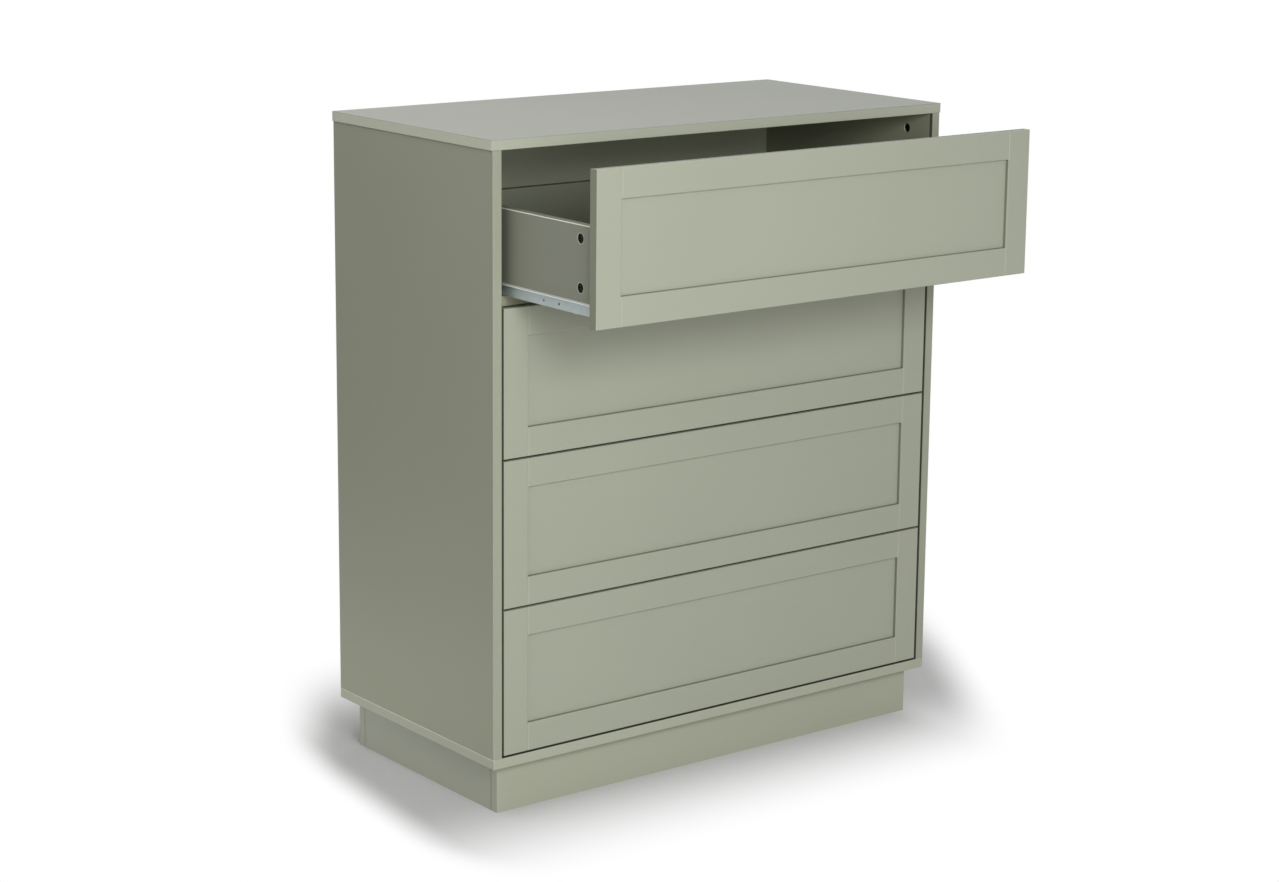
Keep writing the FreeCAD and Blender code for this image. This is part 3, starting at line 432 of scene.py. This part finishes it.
def framed_lacquer(n):
    """Lacquer of one framed front: painted shade on the cut and outer edges, a painted highlight on the
    seams.
    """
    low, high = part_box(f"drawer_{n}_front_frame")
    half = (high - low) / 2
    middle = (high + low) / 2

    def line(distance, width):
        """A soft-edged line where the distance is near zero."""
        return 1 - abs(distance).ramp(width, width + SOFT)

    def across(place):
        """How far a place lies beyond the sunk field, to either side."""
        return abs(place.axis("X") - middle.x) - (half.x - STRIP_WIDTH)

    def upward(place):
        """How far a place lies beyond the sunk field, up or down."""
        return abs(place.axis("Z") - middle.z) - (half.z - STRIP_WIDTH)

    def seam_highlight(place):
        on_face = place.axis("Y") < low.y + STRIP_ROUND
        return line(across(place), SEAM_HALF) * (upward(place) > 0) * on_face

    def outer_edge_shade(place):
        end = across(place) > STRIP_WIDTH - CUT_FACE
        underside = place.axis("Z") < low.z + CUT_FACE
        board_top = (upward(place) > STRIP_WIDTH - CUT_FACE) * (place.axis("Y") > high.y + CUT_FACE)
        return end | underside | board_top

    def cut_edge_shade(place):
        depth = place.axis("Y") - low.y
        in_wall = (depth > STRIP_ROUND) * (depth < high.y - low.y + EDGE_WIDTH)
        beside = line(across(place), EDGE_WIDTH) * (upward(place) < 0)
        above = line(upward(place), EDGE_WIDTH) * (across(place) < 0)
        return (beside | above) * in_wall

    material = sprayed_lacquer(f"front_lacquer_{n}", rgb(169, 173, 156), rgb(178, 182, 164), 0.36, 0.2)
    # A painted highlight on the seams, painted shade on the cut edges and the outer edges.
    tint(material, seam_highlight, rgb(184, 187, 167))
    tint(material, cut_edge_shade, rgb(136, 139, 121))
    tint(material, outer_edge_shade, rgb(128, 131, 114))
    return material


for n in DRAWERS:
    dress(framed_lacquer(n), [f"drawer_{n}_front_panel", f"drawer_{n}_front_frame"])


# Drawer boxes: two sides and a back of foiled board, screwed at the rear and drawn to the front by cam
# locks. The foil is painted a shade deeper than the lacquer, as painted shade. Painted highlights run along
# the upper outer arris and round the cam bores, the bores are painted dark as shade, and two dark spots
# behind the holes of the runner are painted shade in those holes.

HOLE_SHADE_PLACES = (0.0845, 0.1225)
HOLE_SHADE_LIFT = 0.007
HOLE_SHADE_RADIUS = 0.0022
CAM_SETBACK = 0.034
CAM_DROP = 0.020
CAM_LIFT = 0.038
CAM_RIM = 0.0084


def arris_highlight(outer, rim):
    """Mask of the upper outer arris of the sides of a drawer, for a painted highlight."""
    def arris(place):
        return (abs(place.axis("X")) > outer - ARRIS) * (place.axis("Z") > rim - ARRIS)
    return arris


def round_spot(outer, along, up, radius):
    """Mask of a round spot on the outer face of the sides of a drawer."""
    def spot(place):
        off_along = place.axis("Y") - along
        off_up = place.axis("Z") - up
        on_face = abs(place.axis("X")) > outer - CUT_FACE
        return (off_along * off_along + off_up * off_up < radius * radius) * on_face
    return spot


for n in DRAWERS:
    low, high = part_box(f"drawer_{n}_left_side")
    # The foil is painted deeper than the lacquer, as painted shade.
    box_foil = sprayed_lacquer(f"drawer_{n}_foil", rgb(120, 123, 108), rgb(128, 131, 116), 0.42)
    # A painted highlight along the upper outer arris.
    tint(box_foil, arris_highlight(-low.x, high.z), rgb(224, 226, 210))
    # The bores of the sides are painted dark, as painted shade in them.
    for side in ("left", "right"):
        below_coat(box_foil, f"drawer_{n}_{side}_side", rgb(36, 40, 37))
    # A pale ring round each cam bore, a painted highlight on its lip.
    for up in (high.z - CAM_DROP, low.z + CAM_LIFT):
        tint(box_foil, round_spot(-low.x, low.y + CAM_SETBACK, up, CAM_RIM), rgb(180, 184, 170))
    # Dark spots behind the runner's holes, painted shade in the holes.
    for setback in HOLE_SHADE_PLACES:
        tint(box_foil, round_spot(-low.x, low.y + setback, low.z + HOLE_SHADE_LIFT, HOLE_SHADE_RADIUS), rgb(44, 46, 40))
    dress(box_foil, [f"drawer_{n}_left_side", f"drawer_{n}_right_side", f"drawer_{n}_back"])


# Fasteners of the drawers: four dark cam locks near the front of each box, cast like those of the
# carcass, and plated screws and nails at its rear and under it.

CAM_REGION = 0.05
PLATED_STEEL = rgb(194, 196, 193)
for n in DRAWERS:
    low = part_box(f"drawer_{n}_left_side")[0]
    casting = dark_casting(f"drawer_{n}_casting")
    tint(casting, lambda place: place.axis("Y") > low.y + CAM_REGION, PLATED_STEEL)
    tint(casting, lambda place: place.axis("Z") < low.z, PLATED_STEEL)
    dress(casting, [f"drawer_{n}_fasteners"])


# Studio: a pale floor, five softboxes and an even white surround, none of which belongs to the object.
# The gloss shows the surround alone, so no softbox leaves a hot spot on the top. The floor fades to
# white from start to end along each way, by its share, as the shadow in the photograph does.

FLOOR_SIZE = 40.0
bpy.ops.mesh.primitive_plane_add(size=FLOOR_SIZE)
floor = bpy.context.object
floor.name = "studio_floor"
floor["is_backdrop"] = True

FLOOR_TONE = 0.56
FADES = {
    "left": {"way": (-1.0, 0.12, 0.0), "start": 0.504, "end": 0.588, "share": 1.0},
    "left_front": {"way": (-1.0, -0.5, 0.0), "start": 0.69, "end": 0.80, "share": 1.0},
    "left_rear": {"way": (-1.0, 0.6, 0.0), "start": 0.58, "end": 0.71, "share": 1.0},
    "front": {"way": (0.0, -1.0, 0.0), "start": 0.11, "end": 0.485, "share": 1.0},
    "right_near": {"way": (1.0, 0.0, 0.0), "start": 0.38, "end": 0.46, "share": 0.2},
    "right": {"way": (1.0, -0.65, 0.0), "start": 0.64, "end": 0.77, "share": 1.0},
    "right_far": {"way": (1.0, 0.0, 0.0), "start": 0.68, "end": 0.95, "share": 1.0},
    "rear": {"way": (0.0, 1.0, 0.0), "start": 0.22, "end": 0.64, "share": 1.0},
}
floor_paint, shader, place = new_finish("floor_paint")
tree = floor_paint.node_tree
shader.inputs["Base Color"].default_value = (FLOOR_TONE, FLOOR_TONE, FLOOR_TONE, 1)
shader.inputs["Roughness"].default_value = 1.0
shader.inputs["Specular IOR Level"].default_value = 0.0
ray = tree.nodes.new("ShaderNodeLightPath")
seen = Signal(tree, ray.outputs["Is Camera Ray"]) | Signal(tree, ray.outputs["Is Glossy Ray"])
kept = seen
for fade in FADES.values():
    reach = place.node("ShaderNodeVectorMath", {"operation": "DOT_PRODUCT"}, {0: place, 1: fade["way"]},
                       output="Value")
    kept = kept * (1 - reach.ramp(fade["start"], fade["end"]) * fade["share"])
lit = Signal(tree, shader.outputs["BSDF"])
white = seen.node("ShaderNodeEmission", None, {"Strength": 1.0})
surface = seen.node("ShaderNodeMixShader", None, {0: seen - kept, 1: lit, 2: white})
tree.links.new(surface.socket, tree.nodes["Material Output"].inputs["Surface"])
floor.data.materials.append(floor_paint)

AMBIENT = 0.3
world = bpy.data.worlds.new("studio_surround")
bpy.context.scene.world = world
world.use_nodes = True
tree = world.node_tree
ray = tree.nodes.new("ShaderNodeLightPath")
shown = Signal(tree, ray.outputs["Is Camera Ray"]) | Signal(tree, ray.outputs["Is Glossy Ray"])
surround = tree.nodes["Background"]
surround.inputs["Color"].default_value = (1, 1, 1, 1)
tree.links.new((shown * (1 - AMBIENT) + AMBIENT).socket, surround.inputs["Strength"])

SOFTBOXES = {
    "front_softbox": {"place": (-1.4, -3.1, 1.2), "size": (1.7, 0.9), "power": 27.5},
    "upper_softbox": {"place": (-1.3, -3.1, 2.0), "size": (1.2, 0.7), "power": 39.5},
    "overhead_softbox": {"place": (-1.25, 0.0, 2.6), "size": (1.2, 1.2), "power": 15.0},
    "floor_softbox": {"place": (-0.82, 0.0, 0.05), "size": (1.0, 0.08), "power": 0.75},
    "rear_softbox": {"place": (2.0, 1.8, 1.3), "size": (1.2, 1.2), "power": 10.0},
}
SOFTBOX_AIM = (0.0, -0.2, 0.6)
for name, box in SOFTBOXES.items():
    lamp = bpy.data.lights.new(name, "AREA")
    lamp.shape = "RECTANGLE"
    lamp.size, lamp.size_y = box["size"]
    lamp.energy = box["power"]
    softbox = bpy.data.objects.new(name, lamp)
    bpy.context.scene.collection.objects.link(softbox)
    softbox.location = box["place"]
    aim = Vector(SOFTBOX_AIM) - Vector(box["place"])
    softbox.rotation_euler = aim.to_track_quat("-Z", "Y").to_euler()
    softbox.visible_glossy = False
    softbox.visible_camera = False


# Camera: eye height, from the front left, near where the photograph was taken from. Place, turn and
# lens were fitted to corners of the chest in the photograph, with the image centre held at one row.

PHOTO_WIDTH = 1279
PHOTO_HEIGHT = 882
CENTRE_ROW = 390
SENSOR_WIDTH = 36.0
LENS_LENGTH = 80.313
CAMERA_PLACE = (-2.8146, -3.6498, 1.5755)
CAMERA_TURN = (77.852, -0.543, -37.512)
lens = bpy.data.cameras.new("photo_camera")
lens.sensor_width = SENSOR_WIDTH
lens.lens = LENS_LENGTH
lens.shift_y = (CENTRE_ROW - PHOTO_HEIGHT / 2) / PHOTO_WIDTH
camera = bpy.data.objects.new("photo_camera", lens)
bpy.context.scene.collection.objects.link(camera)
camera.location = CAMERA_PLACE
camera.rotation_euler = [math.radians(angle) for angle in CAMERA_TURN]
bpy.context.scene.camera = camera
bpy.context.scene.view_settings.view_transform = "Standard"

low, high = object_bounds()
